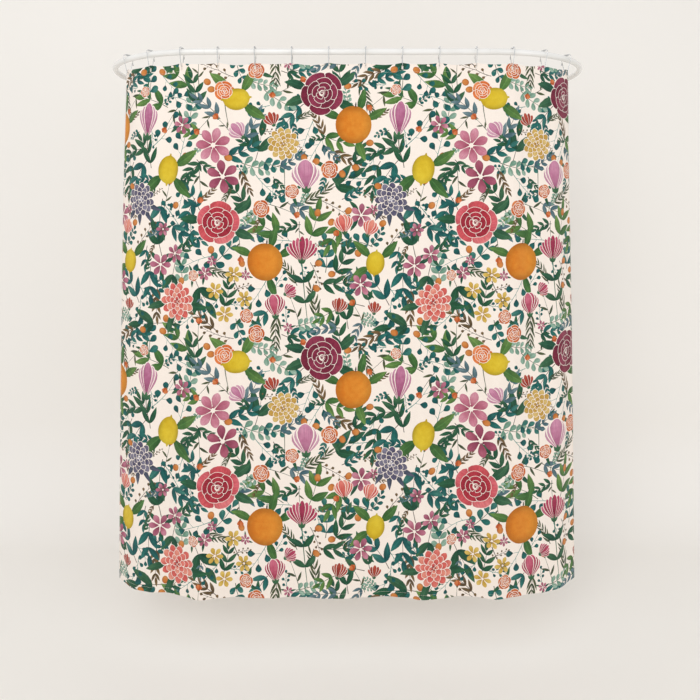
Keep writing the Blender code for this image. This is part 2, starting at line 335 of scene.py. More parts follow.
back_low, back_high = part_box("back_rail")
back_line_y = (back_low.y + back_high.y) / 2
middle_y = (rod_line_y + back_line_y) / 2
bend_radius = (back_line_y - rod_line_y) / 2
rail_half = rod_high.x
rail_straight = rail_half + RAIL_TO_BEND
routes = {
    node: [(x, level, rod_line_z) for x in (-rail_half, 0.0, rail_half)]
    for node, level in (("front_rail", rod_line_y), ("back_rail", back_line_y))
}
for node, side in (("left_bend", -1), ("right_bend", 1)):
    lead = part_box(node)[0 if side > 0 else 1].x
    arc = [(side * (rail_straight + bend_radius * math.cos(turn)), middle_y + bend_radius * math.sin(turn),
            rod_line_z) for turn in np.linspace(-math.pi / 2, math.pi / 2, BEND_SLICES + 1)]
    routes[node] = [(lead, rod_line_y, rod_line_z), *arc, (lead, back_line_y, rod_line_z)]
for node, route in routes.items():
    name = f"{node}_tube"
    fitted(add_piece(name, swept(name, route, rod_radius, ROD_SIDES), lacquer), node, "root")


# --- Joiners ------------------------------------------------------------------------------
# Four short zinc-plated steel sleeves inside the tube, one at each joint of rail and bend.
zinc, shader = grained_material(
    "zinc_plate", tint("B9BCBD"), tint("9EA2A4"), 1.0, 0.28, 0.48, 260.0, 0.25
)


def recoat(node, finish, sharp=None):
    """Finishes the CAD's own solid, smoothed but for edges bent past sharp degrees."""
    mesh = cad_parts[node].data
    mesh.materials.clear()
    mesh.materials.append(finish)
    if sharp:
        mesh.shade_smooth()
        mesh.set_sharp_from_angle(angle=math.radians(sharp))


for level in ("front", "back"):
    for side in ("left", "right"):
        recoat(f"joiner_{level}_{side}", zinc)


# --- Wall brackets ------------------------------------------------------------------------
# Two lacquered brackets hold the back rail off the wall: a cast clamp round the rail, a
# straight arm out of its socket, and a turned flange fixed to the wall by three screws.
ARM_SIDES = 32
CASTING_CREASE = 32
SCREW_CREASE = 40

for side in ("left", "right"):
    recoat(f"rail_clamp_{side}", lacquer, CASTING_CREASE)
    recoat(f"wall_flange_{side}", lacquer, CASTING_CREASE)
    arm_low, arm_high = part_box(f"wall_arm_{side}")
    arm_x, arm_radius = (arm_low.x + arm_high.x) / 2, (arm_high.x - arm_low.x) / 2
    route = [(arm_x, y, rod_line_z) for y in np.linspace(arm_low.y, arm_high.y, 5)]
    name = f"arm_tube_{side}"
    arm = add_piece(name, swept(name, route, arm_radius, ARM_SIDES), lacquer)
    fitted(arm, f"wall_arm_{side}", "root")
    for number in (1, 2, 3):
        recoat(f"flange_screw_{side}_{number}", zinc, SCREW_CREASE)


# --- Hooks --------------------------------------------------------------------------------
# Fourteen rings bent from chromed spring wire. Five little chromed rollers turn on the level
# top and run on the rod; at the side the wire's end hooks over a catch; the foot goes
# through a buttonhole in the cloth.
HOOK_COUNT = 14
WIRE_RADIUS = 0.00115
WIRE_STEP = 0.0012
WIRE_SIDES = 12
HOOK_HALF_WIDTH = 0.0195
CORNER_RADIUS = 0.008
CORNER_STEP = math.radians(9)
FOOT_RADIUS = 0.0075
FOOT_INSET = 0.00125
ROLLERS = 5
ROLLER_RADIUS = 0.003
ROLLER_HALF = 0.0019
ROLLER_PITCH = 0.0046
ROLLER_SEAT = 0.00008
ROLLER_SIDES = 20
ROLLER_CREASE = 45
CATCH_HEIGHT = -0.018
CATCH_INSET = 0.0022
CATCH_LEAN = math.radians(-82)
CATCH_SIDES = 16

hook_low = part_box("hook_07")[0]
hook_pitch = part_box("hook_08")[0].x - hook_low.x
hook_top = rod_radius + ROLLER_SEAT + ROLLER_RADIUS
hook_foot = hook_low.z - rod_line_z + FOOT_INSET

chrome, shader = grained_material(
    "bright_chrome", tint("D9DADB"), tint("BFC2C4"), 1.0, 0.07, 0.2, 700.0, 0.06
)


def rod_place(along, bend=bend_radius):
    """Place and heading on the rod's path at a distance from the middle of the front rail."""
    along = np.asarray(along, float)
    turn = np.maximum(np.abs(along) - rail_straight, 0.0) / bend
    side = np.where(along < 0, -1.0, 1.0)
    x = np.clip(along, -rail_straight, rail_straight) + side * bend * np.sin(turn)
    y = rod_line_y + bend * (1.0 - np.cos(turn))
    return x, y, side * turn


def wire_outline():
    """The hook's closed outline, (across, height), from the top right corner round to it."""
    corner = Vector((HOOK_HALF_WIDTH - CORNER_RADIUS, hook_top - CORNER_RADIUS))
    foot = Vector((0.0, hook_foot + FOOT_RADIUS))
    reach = corner - foot
    tangent = math.atan2(reach.y, reach.x) - math.acos((FOOT_RADIUS - CORNER_RADIUS) / reach.length)
    outline = []
    for centre, radius, start, end in (
        (corner, CORNER_RADIUS, math.pi / 2, tangent),
        (foot, FOOT_RADIUS, tangent, -math.pi - tangent),
        (Vector((-corner.x, corner.y)), CORNER_RADIUS, -math.pi - tangent, -1.5 * math.pi),
    ):
        steps = max(3, round(abs(end - start) / CORNER_STEP))
        outline += [(centre.x + radius * math.cos(angle), centre.y + radius * math.sin(angle))
                    for angle in np.linspace(start, end, steps + 1)]
    return outline + [(0.0, hook_top), (corner.x, hook_top)]


def spaced(outline, spacing):
    """Points set evenly round a closed line whose last point is its first."""
    line = np.array(outline)
    run = np.concatenate([[0.0], np.cumsum(np.linalg.norm(np.diff(line, axis=0), axis=1))])
    marks = np.linspace(0.0, run[-1], max(2, round(run[-1] / spacing)))[:-1]
    return np.stack([np.interp(marks, run, line[:, axis]) for axis in (0, 1)], axis=1)


def turned(profile, sides, place):
    """A closed turned shape round the X axis from (distance along X, radius) points."""
    around = [2 * math.pi * side / sides for side in range(sides)]
    points = [place @ Vector((x, radius * math.cos(angle), radius * math.sin(angle)))
              for x, radius in profile for angle in around]
    faces = []
    for index in range(len(profile) - 1):
        for side in range(sides):
            after = (side + 1) % sides
            low, high = index * sides, (index + 1) * sides
            faces.append((low + side, high + side, high + after, low + after))
    faces.append(tuple(range(sides)))
    faces.append(tuple(reversed([(len(profile) - 1) * sides + side for side in range(sides)])))
    return points, faces


def joined(shapes):
    """The points and faces of several shapes as one."""
    points, faces = [], []
    for shape_points, shape_faces in shapes:
        base = len(points)
        points.extend(shape_points)
        faces.extend(tuple(base + index for index in face) for face in shape_faces)
    return points, faces


shoulder = ROLLER_RADIUS * 0.93
BARREL = [(-ROLLER_HALF, ROLLER_RADIUS * 0.72), (-ROLLER_HALF * 0.8, shoulder), (0, ROLLER_RADIUS),
          (ROLLER_HALF * 0.8, shoulder), (ROLLER_HALF, ROLLER_RADIUS * 0.72)]
CATCH = [(-0.0042, 0.0013), (-0.0036, 0.0019), (0.0036, 0.0019), (0.0042, 0.0013)]
lengthwise = Matrix.Rotation(math.pi / 2, 4, "Z")
wire_line = spaced(wire_outline(), WIRE_STEP)
hook_lines = [(number - (HOOK_COUNT - 1) / 2) * hook_pitch for number in range(HOOK_COUNT)]
for number, along in enumerate(hook_lines, start=1):
    hook = f"hook_{number:02d}"
    x, y, heading = (float(value) for value in rod_place(along))
    stand = Matrix.Translation((x, y, rod_line_z)) @ Matrix.Rotation(heading, 4, "Z")
    route = [stand @ Vector((0.0, across, height)) for across, height in wire_line]
    wire_mesh = swept(f"hook_wire_{number:02d}", route, WIRE_RADIUS, WIRE_SIDES, closed=True)
    fitted(add_piece(f"hook_wire_{number:02d}", wire_mesh, chrome), hook, hook)

    trim = []
    for roller in range(ROLLERS):
        middle = (roller - (ROLLERS - 1) / 2) * ROLLER_PITCH
        seat = stand @ Matrix.Translation((0, middle, hook_top)) @ lengthwise
        trim.append(turned(BARREL, ROLLER_SIDES, seat))
    grip = stand @ Matrix.Translation((0, HOOK_HALF_WIDTH - CATCH_INSET, CATCH_HEIGHT))
    grip = grip @ Matrix.Rotation(CATCH_LEAN, 4, "X") @ lengthwise
    trim.append(turned(CATCH, CATCH_SIDES, grip))
    name = f"hook_rollers_{number:02d}"
    trim_mesh = closed_mesh(name, *joined(trim), ROLLER_CREASE)
    fitted(add_piece(name, trim_mesh, chrome), hook, hook)


# --- Print --------------------------------------------------------------------------------
# The cloth's printed pattern: watercolour flowers, citrus fruit, berries and foliage on
# cream, drawn as brush strokes on the flat cloth and repeated like a printing roller does.
REPEAT_WIDTH = 0.945
REPEAT_HEIGHT = 0.930
PLAIN, LEAF, PETAL, PEEL = 0.0, 1.0, 2.0, 3.0
PACKING = 0.51
SPACES = ((0.062, 900), (0.050, 2500), (0.038, 4000), (0.027, 5000))
CREAM = "F1E6DC"
STEM = "4F5A48"
BARK = "4A4038"
CALYX = "2E5B40"
PETAL_EDGE = 0.0016

hand = random.Random(74)
strokes = []


def inks(text):
    """Pairs of paint colours: where a stroke starts and where it ends."""
    return [tuple(pair.split("-")) for pair in text.split()]


# A stroke's outline: its share of full width at each share p of its length.
def oval(p):
    return np.sqrt(np.clip(1.0 - (2.0 * p - 1.0) ** 2, 0.0, 1.0))


def leaf_shape(p):
    return np.sin(np.pi * p ** 0.85) ** 0.85 * (1.0 - 0.12 * p)


def spoon_shape(p):
    return np.sin(np.pi * p ** 1.5) ** 0.62


def petal_shape(p):
    return np.sin(np.pi * p ** 1.9) ** 0.6 * 0.98 + 0.02


def lemon_shape(p):
    return np.maximum(oval(np.clip((p - 0.07) / 0.86, 0.0, 1.0)), 0.17 * oval(p) ** 0.7)


def brush(base, angle, length, width, shape, ink, tip, kind=PETAL, steps=9, layer=1, sway=0.0):
    """One stroke from base along angle; sway bends it sideways by that share of its length."""
    p = (1.0 - np.cos(np.pi * np.arange(steps + 1) / steps)) / 2.0
    half = shape(p) * width / 2.0
    along = np.concatenate([p, p[-2:0:-1]])
    across = np.concatenate([-half, half[-2:0:-1]]) + sway * length * along**2
    along = along * length
    c, s = math.cos(angle), math.sin(angle)
    outline = np.stack([base[0] + along * c - across * s, base[1] + along * s + across * c], axis=1)
    frame_of = (base[0], base[1], c, s, length, width / 2, sway, kind)
    strokes.append((layer, len(strokes), outline, tint(ink), tint(tip), frame_of))


def reach(start, angle, distance):
    return (start[0] + distance * math.cos(angle), start[1] + distance * math.sin(angle))


def dab(centre, radius, ink, tip, kind, layer, steps, squeeze=1.0, angle=0.0):
    """A round dab of paint."""
    brush(reach(centre, angle, -radius), angle, 2 * radius, 2 * radius * squeeze, oval, ink, tip, kind,
          steps, layer)


def stem(start, angle, length, bend, thick, ink=STEM, steps=6):
    """A thin tapering stem; gives its points and headings for what grows on it."""
    spots = [(start, angle)]
    for step in range(steps):
        here, heading = spots[-1]
        heading = angle + bend * (step + 1) / steps
        spots.append((reach(here, heading, length / steps), heading))
    left, right = [], []
    for index, (here, heading) in enumerate(spots):
        half = thick / 2 * (1.0 - 0.55 * index / steps)
        left.append(reach(here, heading + math.pi / 2, half))
        right.append(reach(here, heading - math.pi / 2, half))
    frame_of = (start[0], start[1], math.cos(angle), math.sin(angle), length, thick, 0.0, PLAIN)
    outline = np.array(right + left[::-1])
    strokes.append((0, len(strokes), outline, tint(ink), tint(ink), frame_of))
    return spots


def sprig(start, angle, length, pairs, leaf, width, tones, shape, bend, spread, ink):
    """A stem with pairs of leaves, smaller toward its tip, and one leaf on the tip."""
    spots = stem(start, angle, length, bend, 0.0028, ink, steps=2 * pairs)
    for pair in range(pairs):
        here, heading = spots[2 * pair + 1]
        size = 1.0 - 0.3 * pair / pairs
        for side in (-1, 1):
            way = heading + side * spread * hand.uniform(0.85, 1.15)
            tone = hand.choice(tones)
            brush(here, way, leaf * size * hand.uniform(0.88, 1.1), width * size, shape, *tone, LEAF, 8,
                  sway=-side * 0.12)
    brush(*spots[-1], leaf * 0.8, width * 0.8, shape, *hand.choice(tones), LEAF, 8)


GREENS = inks("1B4F37-2F6B48 174A38-34694C 25573C-467552")
FRESH = inks("3F6E36-6A9049 356431-578446 4C7A39-769A52")
TEALS = inks("115B58-2F7F76 0F5152-256F6A 186260-48897C")
DEEP_TEALS = inks("0D4E50-186664 125856-24736D")
SAGES = inks("76A08A-9CBBA9 64947E-8BAF9B 82AB93-A8C4B4")
SLATES = inks("4C6A74-6E8B92 58747E-7B959A 3F606B-64828B")
OLIVES = inks("39482F-576447 454F33-646E48")
BRONZES = inks("57452E-7B6747 684F30-8A7049")
RUSTS = inks("C04E20-DF7C42 B2431A-D06A35 CC5E2C-E8915A")
BLUSHES = inks("A8506A-CB8198 96435C-B96F86 B96078-D996A8")


def bloom(centre, radius, rings, layer):
    """Rings of overlapping petals from the outside in, each edged by a thin unpainted line. A
    ring is a count, three shares of the radius (distance out, length, width) and its tones."""
    for count, *shares, tones in rings:
        out, length, width = (radius * share for share in shares)
        first = hand.uniform(0.0, 2 * math.pi)
        for index in range(count):
            angle = first + 2 * math.pi * index / count
            foot = reach(centre, angle, out - length / 2)
            brush(reach(foot, angle, -PETAL_EDGE), angle, length + 2 * PETAL_EDGE,
                  width + 2.4 * PETAL_EDGE, spoon_shape, CREAM, CREAM, PLAIN, 8, layer)
            brush(foot, angle, length, width, spoon_shape, *tones[index % len(tones)], PETAL, 8, layer)
        layer += 1
    return layer


def rose(centre, radius, outer, middle, inner, layer=4):
    top = bloom(centre, radius, ((5, 0.62, 0.80, 1.02, outer), (5, 0.42, 0.60, 0.78, middle),
                                 (4, 0.27, 0.42, 0.56, inner), (3, 0.15, 0.26, 0.36, middle)), layer)
    for turn in range(3):
        size = radius * (0.15 - 0.045 * turn)
        dab(centre, size, CREAM, CREAM, PLAIN, top, 5)
        dab(reach(centre, 2.1 * turn, size * 0.16), size * 0.78, *inner[0], PETAL, top, 5)


def ruffled(centre, radius, tones, heart):
    """A full peony-like head of narrow ragged petals."""
    back = tones[::-1]
    top = bloom(centre, radius, ((11, 0.72, 0.62, 0.40, tones), (9, 0.50, 0.54, 0.36, back),
                                 (7, 0.30, 0.42, 0.30, tones), (4, 0.14, 0.26, 0.20, back)), 4)
    for index in range(5):
        dab(reach(centre, index * 1.26, radius * 0.10), radius * 0.045, heart, heart, PLAIN, top, 3)


def star_flower(centre, radius, petals, tones, eye, layer=4):
    first = hand.uniform(0.0, 6.28)
    for index in range(petals):
        angle = first + 2 * math.pi * index / petals
        brush(reach(centre, angle, radius * 0.10), angle, radius * 0.92, radius * 0.52, spoon_shape,
              *tones[index % len(tones)], PETAL, 9, layer)
    dab(centre, radius * 0.13, CREAM, CREAM, PLAIN, layer + 1, 5)
    for index in range(5):
        dab(reach(centre, index * 1.26 + 0.4, radius * 0.19), radius * 0.05, eye, eye, PLAIN, layer + 2, 3)


def goblet(base, angle, length, spread, petals, tones, narrow, layer=4, gap=CREAM):
    """A closed or half-open bud: petals fan up from one point out of a green calyx."""
    order = sorted(range(petals), key=lambda index: -abs(index - (petals - 1) / 2))
    for index in order:
        turn = (index / (petals - 1) - 0.5) * 2 * spread
        size = length * (1.0 - 0.16 * abs(turn) / spread)
        if gap:
            brush(reach(base, angle, -0.001), angle + turn, size * 1.035, size * narrow * 1.18, petal_shape,
                  gap, gap, PLAIN, 9, layer)
        brush(base, angle + turn, size, size * narrow, petal_shape, *tones[index % len(tones)], PETAL, 9,
              layer)
    for turn in (-0.7, 0.0, 0.7):
        brush(reach(base, angle, -length * 0.06), angle + turn, length * 0.24, length * 0.12, leaf_shape,
              CALYX, "4C7F55", LEAF, 5, layer + 1)


def orange(centre, radius):
    dab(centre, radius, "E07F1B", "EE9C35", PEEL, 5, 18)
    top = reach(centre, 1.45, radius * 0.93)
    brush(top, 1.5, radius * 0.3, radius * 0.1, leaf_shape, BARK, BARK, PLAIN, 4, 6)


def lemon(centre, length, angle):
    start = reach(centre, angle + math.pi, length / 2)
    brush(start, angle, length, length * 0.70, lemon_shape, "DDB91F", "EED23C", PEEL, 18, 5)


def leaf(base, angle, length, width, tones, layer):
    brush(base, angle, length, width, leaf_shape, *hand.choice(tones), LEAF, 11, layer, 0.1)


def collar(centre, turns, out, length, width, tones, layer=3):
    """Leaves standing out from under a flower or a fruit."""
    for turn in turns:
        leaf(reach(centre, turn, out), turn, length, width, tones, layer)


def berries(start, angle, length, count, size, tones, ink="2E7F78"):
    spots = stem(start, angle, length, hand.uniform(-0.4, 0.4), 0.0024, ink, steps=count)
    for index in range(1, count + 1):
        here, heading = spots[index]
        side = 1 if index % 2 else -1
        way = heading + side * hand.uniform(0.6, 1.0) * (index < count)
        stalk = size * hand.uniform(0.5, 0.9)
        stem(here, way, stalk, 0.0, 0.0016, ink, steps=1)
        brush(reach(here, way, stalk * 0.9), way, size, size * 0.8, spoon_shape, *hand.choice(tones),
              PETAL, 8)


def tulips(start, angle, length, tones):
    spots = stem(start, angle, length, hand.uniform(-0.3, 0.3), 0.0026)
    here, heading = spots[3]
    leaf(here, heading + 0.8, length * 0.36, length * 0.09, OLIVES, 1)
    leaf(spots[2][0], heading - 0.8, length * 0.36, length * 0.09, OLIVES, 1)
    goblet(*spots[-1], 0.026, 0.5, 4, tones, 0.42, layer=3, gap=None)


def paint_repeat():
    """Paints the large flowers and fruit, placed in metres from the repeat's top left, and
    gives the round room that each one takes."""
    burgundy = inks("6E1B36-8E2C48 7A2040-9A3A55 611530-82263F")
    red = inks("CF4650-E2707A C23A45-DB5F66 D8585E-E98588")
    crimson = inks("A01E33-BE3A48 8E1A2E-AC2F40")
    rust = inks("DE6426-F08A4C D2571F-E97D3E E8743A-F6A06A")
    coral = inks("D24A46-EE8A7C C93E40-E9756A E0685A-F4A894")
    slate = inks("4E4A60-77738A 3F3C52-686480 5C5870-8F8BA0")
    gold = inks("C99A3C-DDBA6A BE8E35-D4AC58 D3A74C-E6C883")
    rose_pink = inks("C0627C-DB93A6 B4556F-D08297 C97189-E3A6B5")
    wine_pink = inks("A0465F-BE6B81 94405A-B05E75")
    orchid = inks("B35C86-D79AB6 C67A9B-E4B3C8 A84E7A-CD86A8")
    mauve = inks("D08BAA-E9BFD0 C57A9D-DFA9C0 BE6E94-D999B5")
    fuchsia = inks("9E2748-C95070 8B1F3F-B53F5E B43A58-DB7890")
    rust_small = inks("A5352A-C2553F 8E2B25-B04738")
    yellow = inks("D9B147-EBCB72 CFA43C-E3BE60")

    for place, length, angle in (((0.495, -0.125), 0.115, 0.10), ((0.235, -0.375), 0.118, -1.75),
                                 ((0.060, -0.705), 0.098, 1.45)):
        turns = [angle + turn for turn in (0.85, 2.2, -0.75)]
        collar(place, turns, length * 0.30, length * 0.86, length * 0.34, FRESH)
        lemon(place, length, angle)
    for place, radius in (((0.925, -0.218), 0.066), ((0.600, -0.700), 0.066)):
        collar(place, (0.4, 1.2, 2.7, -1.3), radius * 0.8, radius * 1.25, radius * 0.48, FRESH)
        orange(place, radius)
    collar((0.810, -0.105), (2.8, 3.4, 0.5, -0.5), 0.062, 0.082, 0.036, GREENS)
    collar((0.428, -0.562), (0.55, -0.45, 3.0), 0.062, 0.082, 0.036, GREENS)
    rose((0.810, -0.105), 0.078, burgundy, burgundy[::-1], burgundy)
    rose((0.428, -0.562), 0.076, red, crimson, crimson[::-1])
    rose((0.452, -0.098), 0.037, rust, rust[::-1], rust)
    collar((0.272, -0.842), (3.3, -0.2, 4.3), 0.05, 0.075, 0.028, GREENS)
    ruffled((0.272, -0.842), 0.066, coral, "7A2A2A")
    collar((0.118, -0.480), (-1.1, -1.7, -2.3, -0.5), 0.03, 0.066, 0.020, inks("3C4356-5D6478"))
    ruffled((0.118, -0.480), 0.058, slate, "E9E4EA")
    ruffled((0.668, -0.285), 0.056, gold, "8A5A20")
    star_flower((0.412, -0.290), 0.062, 7, rose_pink, "8F3650")
    star_flower((0.446, -0.400), 0.058, 6, wine_pink, "6E2A40")
    for place in ((0.484, -0.745), (0.418, -0.800), (0.523, -0.832), (0.452, -0.884)):
        star_flower(place, 0.030, 6, yellow, "9A5A22")

    for start, *shape in (
        ((0.452, -0.130), -1.50, 0.090, 0.15, 0.0036, STEM),
        ((0.668, -0.330), -1.45, 0.120, -0.15, 0.0036, STEM),
        ((0.484, -0.765), -1.25, 0.130, 0.35, 0.0030, BARK),
        ((0.145, -0.262), -1.60, 0.080, 0.25, 0.0040, STEM),
        ((0.752, -0.455), -2.30, 0.090, 0.55, 0.0040, CALYX),
        ((0.735, -0.702), -1.50, 0.215, 0.05, 0.0042, CALYX),
    ):
        spots = stem(start, *shape)
    for here, heading in (spots[2], spots[4]):
        collar(here, (heading + math.pi - 0.9, heading + math.pi + 0.9), 0.0, 0.062, 0.024, GREENS, 2)
    for base, *shape in (
        ((0.145, -0.262), 1.50, 0.128, 0.30, 5, orchid, 0.30),
        ((0.752, -0.452), 1.62, 0.112, 0.42, 5, mauve, 0.52),
        ((0.735, -0.702), 1.55, 0.092, 0.80, 9, fuchsia, 0.24),
        ((0.640, -0.895), 1.62, 0.085, 0.45, 6, fuchsia[::-1], 0.40),
        ((0.672, -0.815), 0.60, 0.048, 0.70, 7, fuchsia, 0.28),
        ((0.520, -0.262), 2.30, 0.066, 0.55, 5, mauve, 0.40),
        ((0.635, -0.222), 1.95, 0.052, 0.70, 5, rust_small, 0.32),
        ((0.893, -0.600), 1.70, 0.070, 0.55, 6, coral, 0.36),
        ((0.030, -0.610), 1.20, 0.062, 0.50, 5, coral, 0.36),
        ((0.055, -0.885), 1.50, 0.046, 0.65, 5, rust_small, 0.32),
        ((0.865, -0.880), 1.30, 0.058, 0.60, 6, rust_small, 0.30),
    ):
        goblet(base, *shape)
    return [
        (0.495, -0.125, 0.085), (0.235, -0.375, 0.085), (0.060, -0.705, 0.075), (0.925, -0.218, 0.092),
        (0.600, -0.700, 0.092), (0.810, -0.105, 0.100), (0.428, -0.562, 0.098), (0.452, -0.098, 0.042),
        (0.272, -0.842, 0.076), (0.118, -0.490, 0.072), (0.668, -0.285, 0.062), (0.412, -0.290, 0.064),
        (0.446, -0.400, 0.060), (0.484, -0.745, 0.034), (0.418, -0.800, 0.034), (0.523, -0.832, 0.034),
        (0.452, -0.884, 0.034), (0.145, -0.200, 0.062), (0.752, -0.400, 0.062), (0.735, -0.660, 0.055),
        (0.735, -0.790, 0.045), (0.640, -0.855, 0.050), (0.690, -0.800, 0.030), (0.500, -0.240, 0.036),
        (0.625, -0.195, 0.030), (0.893, -0.565, 0.040), (0.045, -0.580, 0.036), (0.060, -0.860, 0.030),
        (0.880, -0.850, 0.036), (0.452, -0.180, 0.022), (0.668, -0.390, 0.025),
    ]


# Each sprig: its pairs of leaves, their length and width as shares of its own length, their
# colours and shape, how far the stem bends, how far the leaves spread, and the stem's colour.
SPRIGS = (
    (3, 0.54, 0.210, GREENS, leaf_shape, 0.45, 0.75, STEM),
    (3, 0.38, 0.240, TEALS, spoon_shape, 0.40, 0.95, STEM),
    (3, 0.50, 0.210, TEALS, leaf_shape, 0.30, 0.70, BARK),
    (2, 0.70, 0.280, FRESH, leaf_shape, 0.30, 0.80, STEM),
    (4, 0.34, 0.200, SAGES, spoon_shape, 0.35, 1.05, STEM),
    (3, 0.56, 0.190, GREENS, leaf_shape, 0.60, 0.65, BARK),
    (5, 0.44, 0.085, OLIVES, leaf_shape, 0.25, 0.55, STEM),
    (1, 0.85, 0.330, GREENS, leaf_shape, 0.20, 0.65, BARK),
    (3, 0.46, 0.175, SLATES, leaf_shape, 0.40, 0.70, STEM),
    (2, 0.62, 0.250, TEALS, leaf_shape, 0.25, 0.70, BARK),
    (4, 0.40, 0.120, BRONZES, leaf_shape, 0.30, 0.60, BARK),
)
GROWTHS = len(SPRIGS) + 8


def grow(kind, middle, angle, size):
    """A sprig, a spray of berries, a flowering stem or a small flower in a round space; every
    third of the smallest spaces takes a loose fruit instead."""
    length = size * 1.75
    start = reach(middle, angle + math.pi, size)
    kind %= GROWTHS
    if size < 0.030 and kind % 3 == 0:
        dab(middle, 0.014, "CB7430", "E59A55", PEEL, 2, 7, 0.85, angle)
    elif kind < len(SPRIGS):
        pairs, leaf_share, width_share, *manner = SPRIGS[kind]
        sprig(start, angle, length, pairs, length * leaf_share, length * width_share, *manner)
    elif kind in (11, 14, 16):
        berries(start, angle, length, 5, length * 0.27, DEEP_TEALS)
    elif kind in (12, 15):
        tulips(start, angle, length, RUSTS)
    elif kind == 13:
        berries(start, angle, length, 8, length * 0.12, BRONZES, ink=BARK)
    else:
        turns = [angle + turn for turn in (0.5, 2.4, 4.2)]
        collar(middle, turns, size * 0.3, size * 0.8, size * 0.26, GREENS, 1)
        if kind == 17:
            star_flower(middle, size * 0.66, 6, BLUSHES, "6E2A40", 3)
        else:
            rose(middle, size * 0.50, RUSTS, RUSTS[::-1], RUSTS, 3)


def grow_foliage(taken):
    """Sprigs of every kind set into the room left between the flowers, turned at random."""
    flowers = len(taken)
    kinds = 0
    for size, tries in SPACES:
        for _ in range(tries):
            u, d = hand.uniform(0, REPEAT_WIDTH), -hand.uniform(0, REPEAT_HEIGHT)
            spots = np.array(taken)
            du = np.abs(u - spots[:, 0])
            dd = np.abs(d - spots[:, 1])
            apart = np.hypot(np.minimum(du, REPEAT_WIDTH - du), np.minimum(dd, REPEAT_HEIGHT - dd))
            room_needed = PACKING * (spots[:, 2] + size)
            room_needed[:flowers] = 0.80 * spots[:flowers, 2] + 0.45 * size
            if (apart < room_needed).any():
                continue
            taken.append((u, d, size))
            grow(kinds, (u, d), hand.uniform(0, 2 * math.pi), size)
            kinds += 1


grow_foliage(paint_repeat())
strokes.sort(key=lambda stroke: stroke[:2])


# --- Cloth --------------------------------------------------------------------------------
# Woven polyester, printed on its front and paler behind, 1.803 m wide and 1.880 m long once
# its four edges are turned back. It hangs in shallow waves from the hooks, in strips that
# meet at the hooks and at each fold's middle.
CLOTH_WIDTH = 1.803
CLOTH_HEIGHT = 1.880
SIDE_MARGIN = 0.0235
BOTTOM_HEM = 0.020
TOP_HEM = 0.030
SIDE_HEM = 0.012
TURN_RADIUS = 0.00045
TURN_LENGTH = math.pi * TURN_RADIUS
FOLD_DEPTH = 0.010
SWAG = 0.007
FLARED_BEND = 0.60
SLOT_HALF = 0.0016
SLOT_LENGTH = 0.0115
SLOT_GAP = 0.0001
STITCH_LENGTH = 0.0026
STITCH_PITCH = 0.0032
STITCH_RADIUS = 0.00025
STITCH_LIFT = 0.0001
STITCH_INSET = 0.0035
SIDE_STITCH_INSET = 0.0032
SWAG_DROP = 0.16
WAVES_FULL = 0.45
LONG_WAVE = 0.37
LONG_WAVE_DEPTH = 0.0035
SHORT_WAVE = 0.215
SHORT_WAVE_DEPTH = 0.0025
EDGE_CURL = 0.004
ROW_STEP = 0.02
SWAG_ROW_STEP = 0.008
COLUMN_STEP = 0.008
CUT_MERGE = 0.00004
BLEND_CLEARANCE = 0.0004

cloth_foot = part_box("curtain_fold_07")[0].z
half_span = hook_lines[-1] + SIDE_MARGIN
take_up = 2 * half_span / CLOTH_WIDTH
fall = random.Random(13)
fold_sizes = np.array([fall.uniform(0.7, 1.25) for _ in range(HOOK_COUNT - 1)])
fold_turns = np.array([fall.uniform(0.0, 6.28) for _ in range(HOOK_COUNT - 1)])


def eased(value):
    value = np.clip(value, 0.0, 1.0)
    return value * value * (3.0 - 2.0 * value)


def turned_back(value, high):
    """Folds a flat distance back at 0 and at high: where it lands, and how far behind."""
    past = np.maximum(np.maximum(-value, value - high), 0.0)
    edge = np.where(value < 0.0, 0.0, high)
    side = np.where(value < 0.0, -1.0, 1.0)
    around = np.minimum(past / TURN_LENGTH, 1.0) * math.pi
    landed = edge + side * (TURN_RADIUS * np.sin(around) - np.maximum(past - TURN_LENGTH, 0.0))
    return np.where(past > 0.0, landed, value), TURN_RADIUS * (1.0 - np.cos(around))


def cloth_place(u, v):
    """Where a point of the flat cloth hangs: u from its left edge, v up from its bottom edge."""
    u, behind = turned_back(np.asarray(u, float), CLOTH_WIDTH)
    v, further = turned_back(np.asarray(v, float), CLOTH_HEIGHT)
    along = (u - CLOTH_WIDTH / 2) * take_up
    drop = CLOTH_HEIGHT - v
    flare = bend_radius + (FLARED_BEND - bend_radius) * np.clip(drop / CLOTH_HEIGHT, 0.0, 1.0)
    x, y, heading = rod_place(along, flare)
    gap = (along - hook_lines[0]) / hook_pitch
    fold = np.clip(np.floor(gap), 0, HOOK_COUNT - 2).astype(int)
    part = np.clip(gap - fold, 0.0, 1.0)
    depth = FOLD_DEPTH * fold_sizes[fold] * (0.8 + 0.3 * np.sin(2.2 * drop + fold_turns[fold]))
    out = np.where(fold % 2 == 0, depth, -depth) * np.sin(np.pi * part) ** 2
    out = out + eased(drop / WAVES_FULL) * (
        LONG_WAVE_DEPTH * np.sin(2 * np.pi * u / LONG_WAVE + 0.9 * np.sin(1.7 * drop))
        + SHORT_WAVE_DEPTH * np.sin(2 * np.pi * u / SHORT_WAVE + 1.9 + 0.7 * drop)
    )
    edge = np.maximum(np.abs(along) - hook_lines[-1], 0.0) / SIDE_MARGIN
    out = out - EDGE_CURL * edge**2 - behind - further
    sag = SWAG * 4 * part * (1 - part) * (1.0 - eased(drop / SWAG_DROP))
    return np.stack([x + np.sin(heading) * out, y - np.cos(heading) * out, cloth_foot + v - sag], axis=-1)


